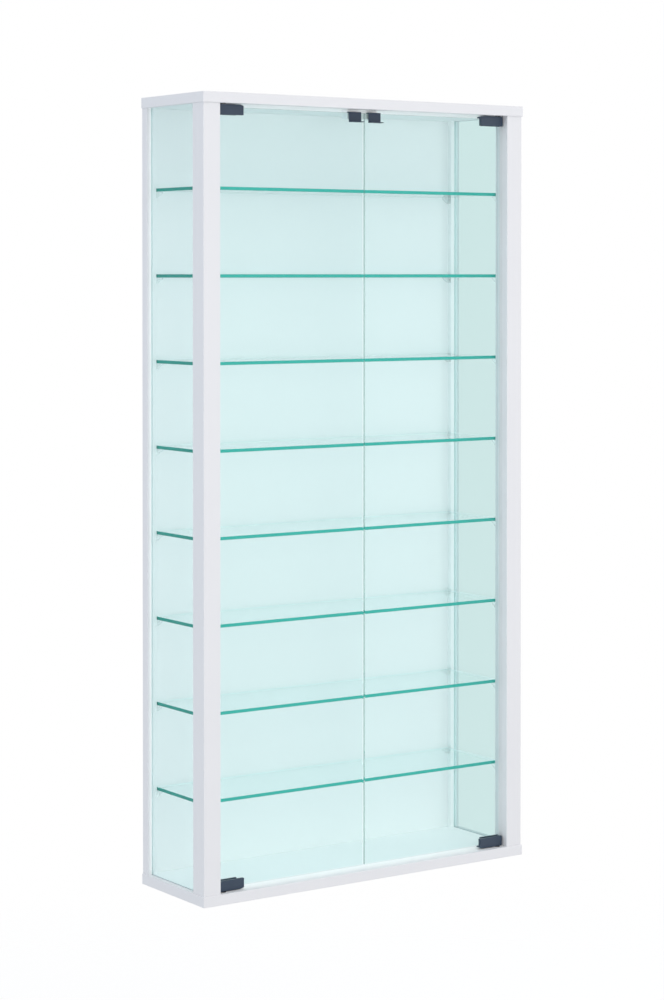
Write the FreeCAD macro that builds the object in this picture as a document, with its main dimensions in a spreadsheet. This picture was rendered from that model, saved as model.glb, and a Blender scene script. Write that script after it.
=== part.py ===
import FreeCAD, Part
import os
import Sketcher
from types import SimpleNamespace

# Wall display cabinet: white foil-covered boards and posts, a white back panel, glass sides,
# glass shelves on clear supports, and two inset glass doors on corner pivot hinges.
# The origin is midway between the two wall hangers, on the wall plane.
# X runs to the right, Y towards the wall and Z up, all in millimetres.

SIZES = {
    # the whole cabinet
    "cabinet_width": 600.0,
    "cabinet_depth": 180.0,
    "cabinet_height": 1200.0,
    "hanger_drop": 80.0,
    # top and bottom boards
    "board_thickness": 16.0,
    "board_edge_radius": 1.0,
    "board_side_overhang": 1.5,
    "board_front_overhang": 2.0,
    # posts
    "front_post_width": 29.0,
    "front_post_depth": 31.0,
    "rear_post_width": 18.0,
    "rear_post_depth": 15.0,
    "post_edge_radius": 0.8,
    # side panes, held in grooves
    "pane_thickness": 4.0,
    "pane_setback": 7.0,
    "pane_groove_depth": 4.0,
    "pane_face_clearance": 0.2,
    "pane_end_clearance": 0.5,
    "glass_arris": 0.4,
    # back panel, held in grooves
    "back_thickness": 3.0,
    "back_setback": 3.5,
    "back_groove_depth": 4.0,
    "back_face_clearance": 0.2,
    "back_end_clearance": 0.5,
    # shelves
    "shelf_thickness": 5.0,
    "shelf_end_gap": 2.0,
    "shelf_front_setback": 40.0,
    "shelf_back_gap": 2.0,
    "lowest_shelf_height": 127.2,
    "top_shelf_drop": 126.6,
    # shelf supports
    "support_width": 8.0,
    "support_reach": 12.0,
    "support_height": 9.0,
    "support_lip": 2.0,
    "support_foot": 2.5,
    "peg_diameter": 4.0,
    "peg_length": 6.0,
    "front_support_inset": 5.5,
    "rear_support_inset": 4.2,
    # connecting screws with caps, and dowels
    "screw_diameter": 5.0,
    "screw_length": 40.0,
    "screw_head_diameter": 8.0,
    "screw_head_height": 3.0,
    "screw_cap_diameter": 10.0,
    "screw_cap_thickness": 1.2,
    "front_screw_inset": 10.0,
    "rear_screw_side_inset": 6.5,
    "rear_screw_back_inset": 7.0,
    "dowel_diameter": 8.0,
    "dowel_length": 30.0,
    "dowel_board_depth": 10.0,
    "dowel_inset": 9.0,
    # wall hangers
    "hanger_inset": 8.0,
    "hanger_width": 14.0,
    "hanger_length": 56.0,
    "hanger_thickness": 1.5,
    "hanger_entry_diameter": 9.0,
    "hanger_slot_width": 5.0,
    "hanger_slot_rise": 12.0,
    "hanger_pocket_width": 10.0,
    "hanger_pocket_depth": 6.0,
    "hanger_screw_reach": 22.0,
    "hanger_screw_diameter": 3.0,
    "hanger_screw_length": 10.0,
    "hanger_screw_head_diameter": 6.0,
    # doors
    "door_thickness": 4.0,
    "door_setback": 16.0,
    "door_side_gap": 4.0,
    "door_end_gap": 5.0,
    "door_meeting_gap": 2.0,
    # corner pivot hinges
    "hinge_length": 44.0,
    "hinge_height": 15.5,
    "hinge_front_jaw": 4.8,
    "hinge_back_jaw": 4.0,
    "hinge_back_jaw_inset": 8.0,
    "hinge_liner_thickness": 0.5,
    "hinge_liner_margin": 2.0,
    "hinge_post_gap": 2.5,
    "hinge_float": 0.3,
    "hinge_relief_length": 6.0,
    "hinge_relief_drop": 1.5,
    "hinge_edge_chamfer": 0.4,
    "hinge_seat_clearance": 0.3,
    "pivot_inset": 11.0,
    "pin_diameter": 3.0,
    "pin_depth": 9.0,
    "pin_rise": 8.0,
    "pin_end_clearance": 0.5,
    "running_clearance": 0.05,
    "bush_diameter": 7.0,
    "bush_flange_diameter": 9.0,
    "bush_flange_thickness": 0.7,
    "bush_floor": 1.5,
    "set_screw_diameter": 4.0,
    "set_screw_spacing": 20.0,
    "set_screw_height": 5.0,
    # strike clips
    "clip_width": 22.5,
    "clip_front_height": 14.5,
    "clip_rear_height": 12.0,
    "clip_rear_inset": 5.0,
    "clip_thickness": 1.2,
    "clip_edge_offset": 6.0,
    "clip_lip_length": 8.0,
    "clip_pad_thickness": 0.5,
    "clip_pad_margin": 1.5,
    # double magnetic catch
    "catch_width": 56.0,
    "catch_depth": 16.0,
    "catch_height": 14.0,
    "catch_gap": 0.3,
    "catch_edge_radius": 1.2,
    "magnet_width": 12.0,
    "magnet_height": 8.0,
    "magnet_depth": 4.0,
    "catch_screw_setback": 10.0,
    "catch_screw_diameter": 3.0,
    "catch_screw_length": 18.0,
    "catch_screw_head_diameter": 6.0,
    "catch_screw_head_height": 2.0,
    # clearances that many pieces share
    "bore_clearance": 0.1,
    "bore_end_clearance": 0.5,
    "cut_overrun": 1.0,
}
SHELF_COUNT = 8

doc = FreeCAD.newDocument("wall_display_cabinet")
sheet = doc.addObject("Spreadsheet::Sheet", "Sizes")
for row, (alias, value) in enumerate(SIZES.items(), start=1):
    cell = f"A{row}"
    sheet.set(cell, str(value))
    sheet.setAlias(cell, alias)
doc.recompute()


class Length:
    """A length that carries both its formula in the size sheet and its present value."""

    def __init__(self, formula, value):
        self.formula = formula
        self.value = value

    def __add__(self, other):
        other = as_length(other)
        return Length(f"({self.formula} + {other.formula})", self.value + other.value)

    def __sub__(self, other):
        other = as_length(other)
        return Length(f"({self.formula} - {other.formula})", self.value - other.value)

    def __mul__(self, count):
        return Length(f"({self.formula} * {count})", self.value * count)

    def __truediv__(self, count):
        return Length(f"({self.formula} / {count})", self.value / count)

    def __neg__(self):
        return Length(f"(0 - {self.formula})", -self.value)


def as_length(amount):
    if isinstance(amount, Length):
        return amount
    return Length(str(amount), amount)


size = SimpleNamespace(**{name: Length(f"Sizes.{name}", value) for name, value in SIZES.items()})
RIGHT = FreeCAD.Vector(1, 0, 0)
BACKWARD = FreeCAD.Vector(0, 1, 0)
UP = FreeCAD.Vector(0, 0, 1)
UPRIGHT_SHARE = 0.9
nodes = []


def bind(item, prop, amount):
    item.setExpression(prop, as_length(amount).formula)


def place(item, x, y, z):
    bind(item, "Placement.Base.x", x)
    bind(item, "Placement.Base.y", y)
    bind(item, "Placement.Base.z", z)


def keep(item, label):
    """Make an object one of the cabinet's pieces."""
    item.Label = label
    nodes.append(item)
    return item


def box(name, x, y, z, width, depth, height):
    item = doc.addObject("Part::Box", name)
    bind(item, "Length", width)
    bind(item, "Width", depth)
    bind(item, "Height", height)
    place(item, x, y, z)
    return item


def rod(name, x, y, z, diameter, reach, direction):
    """A round bar from a point along a direction."""
    item = doc.addObject("Part::Cylinder", name)
    bind(item, "Radius", diameter / 2)
    bind(item, "Height", reach)
    item.Placement = FreeCAD.Placement(FreeCAD.Vector(), FreeCAD.Rotation(UP, direction))
    place(item, x, y, z)
    return item


def cone(name, x, y, z, start_diameter, end_diameter, reach, direction):
    item = doc.addObject("Part::Cone", name)
    bind(item, "Radius1", start_diameter / 2)
    bind(item, "Radius2", end_diameter / 2)
    bind(item, "Height", reach)
    item.Placement = FreeCAD.Placement(FreeCAD.Vector(), FreeCAD.Rotation(UP, direction))
    place(item, x, y, z)
    return item


def fuse(name, items):
    item = doc.addObject("Part::MultiFuse", name)
    item.Shapes = items
    return item


def cut(name, base, tools):
    """Take a list of solids out of a base solid."""
    item = doc.addObject("Part::Cut", name)
    item.Base = base
    item.Tool = tools[0] if len(tools) == 1 else fuse(name + "_cuts", tools)
    return item


def group(name, items):
    """Keep like pieces together as separate solids."""
    item = doc.addObject("Part::Compound", name)
    item.Links = items
    return item


def mirror(name, source, normal, height=None):
    """The other-hand copy: across the middle plane, or top for bottom across a level."""
    item = doc.addObject("Part::Mirroring", name)
    item.Source = source
    item.Normal = normal
    if height is not None:
        bind(item, "Base.z", height)
    return item


def outline_body(name, plane_role, points, thickness, backwards=False):
    """A body padded from a closed outline of straight lines, with every corner dimensioned."""
    body = doc.addObject("PartDesign::Body", name)
    sketch = body.newObject("Sketcher::SketchObject", name + "_outline")
    plane = [item for item in body.Origin.OriginFeatures if item.Role == plane_role][0]
    sketch.AttachmentSupport = [(plane, "")]
    sketch.MapMode = "FlatFace"
    corners = [(as_length(across), as_length(along)) for across, along in points]
    spots = [FreeCAD.Vector(across.value, along.value, 0) for across, along in corners]
    for number, spot in enumerate(spots):
        following = spots[(number + 1) % len(spots)]
        sketch.addGeometry(Part.LineSegment(spot, following), False)
    for number in range(len(spots)):
        following = (number + 1) % len(spots)
        sketch.addConstraint(Sketcher.Constraint("Coincident", number, 2, following, 1))
    for number, corner in enumerate(corners):
        for kind, amount in zip(("DistanceX", "DistanceY"), corner):
            which = sketch.addConstraint(Sketcher.Constraint(kind, -1, 1, number, 1, amount.value))
            sketch.renameConstraint(which, f"{kind}_{number}")
            bind(sketch, f"Constraints.{kind}_{number}", amount)
    pad = body.newObject("PartDesign::Pad", name + "_pad")
    pad.Profile = sketch
    pad.Reversed = backwards
    bind(pad, "Length", thickness)
    return body


def ease_edges(body, kind, prop, amount, only_upright=False):
    """Round or bevel the edges of a padded body, all of them or just the upright ones."""
    doc.recompute()
    pad = body.Tip
    ease = body.newObject(f"PartDesign::{kind}", f"{body.Name}_{kind.lower()}")
    edges = []
    for number, edge in enumerate(pad.Shape.Edges, start=1):
        upright = abs(edge.tangentAt(edge.FirstParameter).z) > UPRIGHT_SHARE
        if upright or not only_upright:
            edges.append(f"Edge{number}")
    ease.Base = (pad, edges)
    bind(ease, prop, amount)
    return body


def slab(name, x, y, z, width, depth, height):
    """A rectangular body with its lowest corner at a point."""
    points = [(0, 0), (width, 0), (width, depth), (0, depth)]
    body = outline_body(name, "XY_Plane", points, height)
    place(body, x, y, z)
    return body


# Places that the pieces share, all on the left half of the cabinet.
left = -(size.cabinet_width / 2)
front = -size.cabinet_depth
top = size.hanger_drop
bottom = top - size.cabinet_height
middle = (top + bottom) / 2
ceiling = top - size.board_thickness
floor = bottom + size.board_thickness
inner_height = ceiling - floor
post_outer = left + size.board_side_overhang
front_post_front = front + size.board_front_overhang
front_post_rear = front_post_front + size.front_post_depth
front_post_inner = post_outer + size.front_post_width
rear_post_front = -size.rear_post_depth
rear_post_inner = post_outer + size.rear_post_width
pane_outer = post_outer + size.pane_setback
back_front = -(size.back_setback + size.back_thickness)
shelf_left = rear_post_inner + size.shelf_end_gap
shelf_front = front + size.shelf_front_setback
shelf_rear = back_front - size.shelf_back_gap
shelf_step = (inner_height - size.lowest_shelf_height - size.top_shelf_drop) / (SHELF_COUNT - 1)
shelf_levels = [floor + size.lowest_shelf_height + shelf_step * number for number in range(SHELF_COUNT)]
front_screw_x = post_outer + size.front_screw_inset
front_screw_y = front_post_front + size.front_screw_inset
rear_screw_x = post_outer + size.rear_screw_side_inset
rear_screw_y = -size.rear_screw_back_inset
dowel_x = front_post_inner - size.dowel_inset
dowel_y = front_post_rear - size.dowel_inset
hanger_x = post_outer + size.hanger_inset
door_front = front + size.door_setback
door_rear = door_front + size.door_thickness
door_left = front_post_inner + size.door_side_gap
door_right = -(size.door_meeting_gap / 2)
door_top = ceiling - size.door_end_gap
door_bottom = floor + size.door_end_gap
hinge_left = front_post_inner + size.hinge_post_gap
hinge_top = ceiling - size.bush_flange_thickness - size.hinge_float
hinge_slot_front = door_front - size.hinge_liner_thickness
hinge_slot_rear = door_rear + size.hinge_liner_thickness
hinge_front = hinge_slot_front - size.hinge_front_jaw
hinge_rear = hinge_slot_rear + size.hinge_back_jaw
pivot_x = front_post_inner + size.pivot_inset
pivot_y = hinge_front + size.hinge_front_jaw / 2
clip_left = door_right - size.clip_edge_offset - size.clip_width
clip_centre = clip_left + size.clip_width / 2
bore_gap = size.bore_clearance * 2


# The side panes stand in grooves in the posts and boards, on the groove in the bottom board.
pane_y = front_post_rear - size.pane_groove_depth
pane_run = rear_post_front + size.pane_groove_depth - pane_y
pane_rise = inner_height + size.pane_groove_depth * 2
pane = slab(
    "side_pane",
    pane_outer,
    pane_y + size.pane_end_clearance,
    floor - size.pane_groove_depth,
    size.pane_thickness,
    pane_run - size.pane_end_clearance * 2,
    pane_rise - size.pane_end_clearance,
)
ease_edges(pane, "Chamfer", "Size", size.glass_arris)
keep(pane, "side_glass_left")
keep(mirror("side_pane_other", pane, RIGHT), "side_glass_right")
pane_groove = box(
    "pane_groove",
    pane_outer - size.pane_face_clearance,
    pane_y,
    floor - size.pane_groove_depth,
    size.pane_thickness + size.pane_face_clearance * 2,
    pane_run,
    pane_rise,
)

# The white back panel stands in grooves in the rear posts and boards.
back_x = rear_post_inner - size.back_groove_depth
back_run = -back_x * 2
back_rise = inner_height + size.back_groove_depth * 2
keep(
    box(
        "back_sheet",
        back_x + size.back_end_clearance,
        back_front,
        floor - size.back_groove_depth,
        back_run - size.back_end_clearance * 2,
        size.back_thickness,
        back_rise - size.back_end_clearance,
    ),
    "back_panel",
)
back_groove = box(
    "back_groove",
    back_x,
    back_front - size.back_face_clearance,
    floor - size.back_groove_depth,
    back_run,
    size.back_thickness + size.back_face_clearance * 2,
    back_rise,
)


# Connecting screws run through the boards into the posts, with a cap flush over each head.
screw_head_top = top - size.screw_cap_thickness
screw_neck = screw_head_top - size.screw_head_height
screw_bores = []
screws = []
caps = []
for spot, x, y in (("front", front_screw_x, front_screw_y), ("rear", rear_screw_x, rear_screw_y)):
    shank_z = screw_neck - size.screw_length
    shank = rod(f"{spot}_shank", x, y, shank_z, size.screw_diameter, size.screw_length, UP)
    head = rod(f"{spot}_head", x, y, screw_neck, size.screw_head_diameter, size.screw_head_height, UP)
    screws.append(fuse(f"{spot}_screw", [shank, head]))
    caps.append(
        rod(f"{spot}_cap", x, y, screw_head_top, size.screw_cap_diameter, size.screw_cap_thickness, UP)
    )
    bore_run = top - shank_z + size.bore_end_clearance + size.cut_overrun
    bore_z = shank_z - size.bore_end_clearance
    head_run = top - screw_neck + size.cut_overrun
    cap_run = size.screw_cap_thickness + size.cut_overrun
    screw_bores += [
        rod(f"{spot}_shank_bore", x, y, bore_z, size.screw_diameter + bore_gap, bore_run, UP),
        rod(f"{spot}_head_bore", x, y, screw_neck, size.screw_head_diameter + bore_gap, head_run, UP),
        rod(f"{spot}_cap_bore", x, y, screw_head_top, size.screw_cap_diameter + bore_gap, cap_run, UP),
    ]

# A dowel beside each front screw keeps the post square to the board.
dowel_z = ceiling + size.dowel_board_depth - size.dowel_length
dowel = rod("dowel", dowel_x, dowel_y, dowel_z, size.dowel_diameter, size.dowel_length, UP)
dowel_bore = rod(
    "dowel_bore",
    dowel_x,
    dowel_y,
    dowel_z,
    size.dowel_diameter + bore_gap,
    size.dowel_length + size.bore_end_clearance,
    UP,
)


def four_corners(name, items):
    """Repeat left-hand top pieces on the right and at the bottom."""
    upper = group(name + "_left", items)
    both = group(name + "_upper", [upper, mirror(name + "_right", upper, RIGHT)])
    return group(name, [both, mirror(name + "_lower", both, UP, middle)])


keep(four_corners("screws", screws), "post_screws")
keep(four_corners("caps", caps), "screw_caps")
keep(four_corners("dowels", [dowel]), "post_dowels")

# The pivot pins turn in flanged bushes pressed into the boards.
bush_depth = size.pin_rise + size.pin_end_clearance + size.bush_floor
bush_mouth = ceiling - size.bush_flange_thickness
bush_body = rod("bush_body", pivot_x, pivot_y, ceiling, size.bush_diameter, bush_depth, UP)
bush_flange = rod(
    "bush_flange",
    pivot_x,
    pivot_y,
    bush_mouth,
    size.bush_flange_diameter,
    size.bush_flange_thickness,
    UP,
)
bush_bore = rod(
    "bush_bore",
    pivot_x,
    pivot_y,
    bush_mouth - size.cut_overrun,
    size.pin_diameter + size.running_clearance * 2,
    size.cut_overrun + size.bush_flange_thickness + size.pin_rise + size.pin_end_clearance,
    UP,
)
bush = cut("bush", fuse("bush_blank", [bush_body, bush_flange]), [bush_bore])
keep(four_corners("bushes", [bush]), "pivot_bushes")
bush_seat = rod(
    "bush_seat",
    pivot_x,
    pivot_y,
    ceiling - size.cut_overrun,
    size.bush_diameter + bore_gap,
    bush_depth + size.cut_overrun,
    UP,
)

# The two boards are alike: grooves for glass and back panel, bores for screws, dowels and bushes.
board = slab(
    "board", left, front, ceiling, size.cabinet_width, size.cabinet_depth, size.board_thickness
)
ease_edges(board, "Fillet", "Radius", size.board_edge_radius)
board_side_cuts = fuse("board_side_cuts", [pane_groove, dowel_bore, bush_seat] + screw_bores)
board_cut = cut(
    "board_cut",
    board,
    [board_side_cuts, mirror("board_side_cuts_right", board_side_cuts, RIGHT), back_groove],
)
keep(mirror("board_lower", board_cut, UP, middle), "bottom_panel")

# A double magnetic catch hangs under the top board behind the strike clips.
catch_front = door_rear + size.clip_pad_thickness + size.clip_thickness + size.catch_gap
catch_bottom = ceiling - size.catch_height
catch_block = slab(
    "catch_block",
    -(size.catch_width / 2),
    catch_front,
    catch_bottom,
    size.catch_width,
    size.catch_depth,
    size.catch_height,
)
ease_edges(catch_block, "Fillet", "Radius", size.catch_edge_radius, only_upright=True)
magnet_x = clip_centre - size.magnet_width / 2
magnet_z = catch_bottom + (size.catch_height - size.magnet_height) / 2
magnet = box(
    "magnet", magnet_x, catch_front, magnet_z, size.magnet_width, size.magnet_depth, size.magnet_height
)
magnet_seat = box(
    "magnet_seat",
    magnet_x - size.bore_clearance,
    catch_front - size.cut_overrun,
    magnet_z - size.bore_clearance,
    size.magnet_width + bore_gap,
    size.magnet_depth + size.cut_overrun,
    size.magnet_height + bore_gap,
)
catch_screw_y = catch_front + size.catch_screw_setback
catch_screw = fuse(
    "catch_screw",
    [
        rod(
            "catch_screw_head",
            clip_centre,
            catch_screw_y,
            catch_bottom,
            size.catch_screw_head_diameter,
            size.catch_screw_head_height,
            UP,
        ),
        rod(
            "catch_screw_shank",
            clip_centre,
            catch_screw_y,
            catch_bottom,
            size.catch_screw_diameter,
            size.catch_screw_length,
            UP,
        ),
    ],
)
catch_screw_seat = fuse(
    "catch_screw_seat",
    [
        rod(
            "catch_screw_head_bore",
            clip_centre,
            catch_screw_y,
            catch_bottom - size.cut_overrun,
            size.catch_screw_head_diameter + bore_gap,
            size.catch_screw_head_height + size.cut_overrun,
            UP,
        ),
        rod(
            "catch_screw_bore",
            clip_centre,
            catch_screw_y,
            catch_bottom,
            size.catch_screw_diameter + bore_gap,
            size.catch_screw_length + size.bore_end_clearance,
            UP,
        ),
    ],
)
catch_screw_seat_right = mirror("catch_screw_seat_right", catch_screw_seat, RIGHT)
keep(
    cut(
        "catch_housing",
        catch_block,
        [
            magnet_seat,
            mirror("magnet_seat_right", magnet_seat, RIGHT),
            catch_screw_seat,
            catch_screw_seat_right,
        ],
    ),
    "magnet_catch_housing",
)
keep(group("magnets", [magnet, mirror("magnet_right", magnet, RIGHT)]), "catch_magnets")
keep(
    group("catch_screw_pair", [catch_screw, mirror("catch_screw_right", catch_screw, RIGHT)]),
    "catch_screws",
)
keep(cut("board_upper", board_cut, [catch_screw_seat, catch_screw_seat_right]), "top_panel")

# Glass shelves lie on four clear supports each, pegged into the posts.
front_peg_x = front_post_inner - size.front_support_inset
rear_peg_y = rear_post_front + size.rear_support_inset
support_outline = [
    (0, 0),
    (size.support_reach, 0),
    (size.support_reach, -size.support_lip),
    (size.support_foot, -size.support_height),
    (0, -size.support_height),
]
front_peg_bores = []
rear_peg_bores = []
for number, level in enumerate(shelf_levels, start=1):
    shelf = slab(
        f"shelf_{number}_glass",
        shelf_left,
        shelf_front,
        level,
        -shelf_left * 2,
        shelf_rear - shelf_front,
        size.shelf_thickness,
    )
    ease_edges(shelf, "Chamfer", "Size", size.glass_arris)
    keep(shelf, f"shelf_{number}")
    peg_level = level - size.support_height / 2
    rear_wedge = outline_body(
        f"rear_wedge_{number}", "XZ_Plane", support_outline, size.support_width, backwards=True
    )
    place(rear_wedge, rear_post_inner, rear_peg_y - size.support_width / 2, level)
    rear_peg = rod(
        f"rear_peg_{number}",
        rear_post_inner,
        rear_peg_y,
        peg_level,
        size.peg_diameter,
        size.peg_length,
        -RIGHT,
    )
    front_wedge = outline_body(f"front_wedge_{number}", "YZ_Plane", support_outline, size.support_width)
    place(front_wedge, front_peg_x - size.support_width / 2, front_post_rear, level)
    front_peg = rod(
        f"front_peg_{number}",
        front_peg_x,
        front_post_rear,
        peg_level,
        size.peg_diameter,
        size.peg_length,
        -BACKWARD,
    )
    supports = group(
        f"supports_{number}_left",
        [
            fuse(f"front_support_{number}", [front_wedge, front_peg]),
            fuse(f"rear_support_{number}", [rear_wedge, rear_peg]),
        ],
    )
    supports_right = mirror(f"supports_{number}_right", supports, RIGHT)
    keep(group(f"supports_{number}", [supports, supports_right]), f"shelf_supports_{number}")
    peg_bore_diameter = size.peg_diameter + bore_gap
    peg_bore_run = size.peg_length + size.bore_end_clearance + size.cut_overrun
    front_peg_bores.append(
        rod(
            f"front_peg_bore_{number}",
            front_peg_x,
            front_post_rear + size.cut_overrun,
            peg_level,
            peg_bore_diameter,
            peg_bore_run,
            -BACKWARD,
        )
    )
    rear_peg_bores.append(
        rod(
            f"rear_peg_bore_{number}",
            rear_post_inner + size.cut_overrun,
            rear_peg_y,
            peg_level,
            peg_bore_diameter,
            peg_bore_run,
            -RIGHT,
        )
    )

# Posts: square sections with eased long edges, grooved for the panes and bored for the pegs.
post_end_cuts = group("post_end_cuts", screw_bores + [dowel_bore])
post_end_cuts_lower = mirror("post_end_cuts_lower", post_end_cuts, UP, middle)
front_blank = slab(
    "front_post_blank",
    post_outer,
    front_post_front,
    floor,
    size.front_post_width,
    size.front_post_depth,
    inner_height,
)
ease_edges(front_blank, "Fillet", "Radius", size.post_edge_radius, only_upright=True)
front_post = cut(
    "front_post", front_blank, [pane_groove, post_end_cuts, post_end_cuts_lower] + front_peg_bores
)
keep(front_post, "front_post_left")
keep(mirror("front_post_other", front_post, RIGHT), "front_post_right")

# Keyhole hanger plates lie flush in the rear posts, over a pocket for the wall screw's head.
keyhole_middle = size.hanger_slot_rise / 2
plate = box(
    "hanger_blank",
    hanger_x - size.hanger_width / 2,
    -size.hanger_thickness,
    keyhole_middle - size.hanger_length / 2,
    size.hanger_width,
    size.hanger_thickness,
    size.hanger_length,
)
plate_cut_depth = size.hanger_thickness + size.cut_overrun * 2
plate_cut_y = -size.hanger_thickness - size.cut_overrun
keyhole_slot = fuse(
    "keyhole",
    [
        rod(
            "keyhole_entry",
            hanger_x,
            plate_cut_y,
            0,
            size.hanger_entry_diameter,
            plate_cut_depth,
            BACKWARD,
        ),
        rod(
            "keyhole_end",
            hanger_x,
            plate_cut_y,
            size.hanger_slot_rise,
            size.hanger_slot_width,
            plate_cut_depth,
            BACKWARD,
        ),
        box(
            "keyhole_slot",
            hanger_x - size.hanger_slot_width / 2,
            plate_cut_y,
            0,
            size.hanger_slot_width,
            plate_cut_depth,
            size.hanger_slot_rise,
        ),
    ],
)
hanger_screws = []
hanger_screw_bores = []
for spot, level in (
    ("upper", keyhole_middle + size.hanger_screw_reach),
    ("lower", keyhole_middle - size.hanger_screw_reach),
):
    head = cone(
        f"hanger_{spot}_head",
        hanger_x,
        0,
        level,
        size.hanger_screw_head_diameter,
        size.hanger_screw_diameter,
        size.hanger_thickness,
        -BACKWARD,
    )
    shank = rod(
        f"hanger_{spot}_shank",
        hanger_x,
        0,
        level,
        size.hanger_screw_diameter,
        size.hanger_screw_length,
        -BACKWARD,
    )
    hanger_screws.append(fuse(f"hanger_{spot}_screw", [head, shank]))
    hanger_screw_bores += [
        cone(
            f"hanger_{spot}_sink",
            hanger_x,
            0,
            level,
            size.hanger_screw_head_diameter + bore_gap,
            size.hanger_screw_diameter + bore_gap,
            size.hanger_thickness,
            -BACKWARD,
        ),
        rod(
            f"hanger_{spot}_bore",
            hanger_x,
            0,
            level,
            size.hanger_screw_diameter + bore_gap,
            size.hanger_screw_length + size.bore_end_clearance,
            -BACKWARD,
        ),
    ]
hanger = cut("hanger", plate, [keyhole_slot] + hanger_screw_bores)
keep(hanger, "hanger_plate_left")
keep(mirror("hanger_other", hanger, RIGHT), "hanger_plate_right")
hanger_screw_pair = group("hanger_screw_pair", hanger_screws)
keep(
    group("hanger_screw_set", [hanger_screw_pair, mirror("hanger_screws_right", hanger_screw_pair, RIGHT)]),
    "hanger_screws",
)
plate_recess = box(
    "hanger_recess",
    hanger_x - size.hanger_width / 2 - size.bore_clearance,
    -size.hanger_thickness,
    keyhole_middle - size.hanger_length / 2 - size.bore_clearance,
    size.hanger_width + bore_gap,
    size.hanger_thickness + size.cut_overrun,
    size.hanger_length + bore_gap,
)
pocket_low = -(size.hanger_pocket_width / 2)
hanger_pocket = box(
    "hanger_pocket",
    hanger_x - size.hanger_pocket_width / 2,
    -(size.hanger_thickness + size.hanger_pocket_depth),
    pocket_low,
    size.hanger_pocket_width,
    size.hanger_pocket_depth + size.hanger_thickness,
    size.hanger_slot_rise - pocket_low * 2,
)
rear_blank = slab(
    "rear_post_blank",
    post_outer,
    rear_post_front,
    floor,
    size.rear_post_width,
    size.rear_post_depth,
    inner_height,
)
ease_edges(rear_blank, "Fillet", "Radius", size.post_edge_radius, only_upright=True)
rear_post = cut(
    "rear_post",
    rear_blank,
    [pane_groove, back_groove, post_end_cuts, post_end_cuts_lower, plate_recess, hanger_pocket]
    + hanger_screw_bores
    + rear_peg_bores,
)
keep(rear_post, "rear_post_left")
keep(mirror("rear_post_other", rear_post, RIGHT), "rear_post_right")

# The doors: frameless glass, hung between the posts.
door = slab(
    "door",
    door_left,
    door_front,
    door_bottom,
    door_right - door_left,
    size.door_thickness,
    door_top - door_bottom,
)
ease_edges(door, "Chamfer", "Size", size.glass_arris)
keep(door, "door_glass_left")
keep(mirror("door_other", door, RIGHT), "door_glass_right")

# Each hinge is a metal block slotted for the glass, with its pivot pin in the front jaw and a shorter
# back jaw.
hinge_right = hinge_left + size.hinge_length
hinge_bottom = hinge_top - size.hinge_height
hinge_depth = hinge_rear - hinge_front
hinge_outline = [
    (0, 0),
    (size.hinge_length, 0),
    (size.hinge_length, size.hinge_height - size.hinge_relief_drop),
    (size.hinge_length - size.hinge_relief_length, size.hinge_height),
    (0, size.hinge_height),
]
hinge_block = outline_body("hinge_block", "XZ_Plane", hinge_outline, hinge_depth, backwards=True)
place(hinge_block, hinge_left, hinge_front, hinge_bottom)
ease_edges(hinge_block, "Chamfer", "Size", size.hinge_edge_chamfer)
hinge_slot = box(
    "hinge_slot",
    hinge_left - size.cut_overrun,
    hinge_slot_front,
    hinge_bottom - size.cut_overrun,
    size.hinge_length + size.cut_overrun * 2,
    hinge_slot_rear - hinge_slot_front,
    door_top + size.hinge_seat_clearance - hinge_bottom + size.cut_overrun,
)
back_jaw_length = size.hinge_length - size.hinge_back_jaw_inset
back_jaw_relief = box(
    "back_jaw_relief",
    hinge_left + back_jaw_length,
    hinge_slot_rear,
    hinge_bottom - size.cut_overrun,
    size.hinge_back_jaw_inset + size.cut_overrun,
    size.hinge_back_jaw + size.cut_overrun,
    size.hinge_height + size.cut_overrun * 2,
)
pin_foot = hinge_top - size.pin_depth
pin = rod(
    "pin", pivot_x, pivot_y, pin_foot, size.pin_diameter, ceiling + size.pin_rise - pin_foot, UP
)
pin_seat = rod(
    "pin_seat",
    pivot_x,
    pivot_y,
    pin_foot,
    size.pin_diameter + size.running_clearance * 2,
    size.pin_depth + size.cut_overrun,
    UP,
)
set_screws = []
set_screw_bores = []
set_screw_level = hinge_bottom + size.set_screw_height
for spot, shift in (("near", -(size.set_screw_spacing / 2)), ("far", size.set_screw_spacing / 2)):
    x = hinge_left + back_jaw_length / 2 + shift
    set_screws.append(
        rod(
            f"set_screw_{spot}",
            x,
            hinge_slot_rear,
            set_screw_level,
            size.set_screw_diameter,
            size.hinge_back_jaw,
            BACKWARD,
        )
    )
    set_screw_bores.append(
        rod(
            f"set_screw_bore_{spot}",
            x,
            hinge_slot_rear,
            set_screw_level,
            size.set_screw_diameter + bore_gap,
            size.hinge_back_jaw + size.cut_overrun,
            BACKWARD,
        )
    )
hinge = cut("hinge", hinge_block, [hinge_slot, back_jaw_relief, pin_seat] + set_screw_bores)
hinge_lower = mirror("hinge_lower", hinge, UP, middle)
keep(hinge, "hinge_clamp_left_top")
keep(hinge_lower, "hinge_clamp_left_bottom")
keep(mirror("hinge_other", hinge, RIGHT), "hinge_clamp_right_top")
keep(mirror("hinge_other_lower", hinge_lower, RIGHT), "hinge_clamp_right_bottom")

# Thin liners keep the metal jaws off the glass.
liner_left = door_left + size.hinge_liner_margin
liner_run = hinge_right - size.hinge_liner_margin - liner_left
liner_bottom = hinge_bottom + size.hinge_liner_margin / 2
liners = [
    box(
        f"liner_{spot}",
        liner_left,
        y,
        liner_bottom,
        run,
        size.hinge_liner_thickness,
        door_top - liner_bottom,
    )
    for spot, y, run in (
        ("front", hinge_slot_front, liner_run),
        ("rear", door_rear, liner_run - size.hinge_back_jaw_inset),
    )
]


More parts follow.
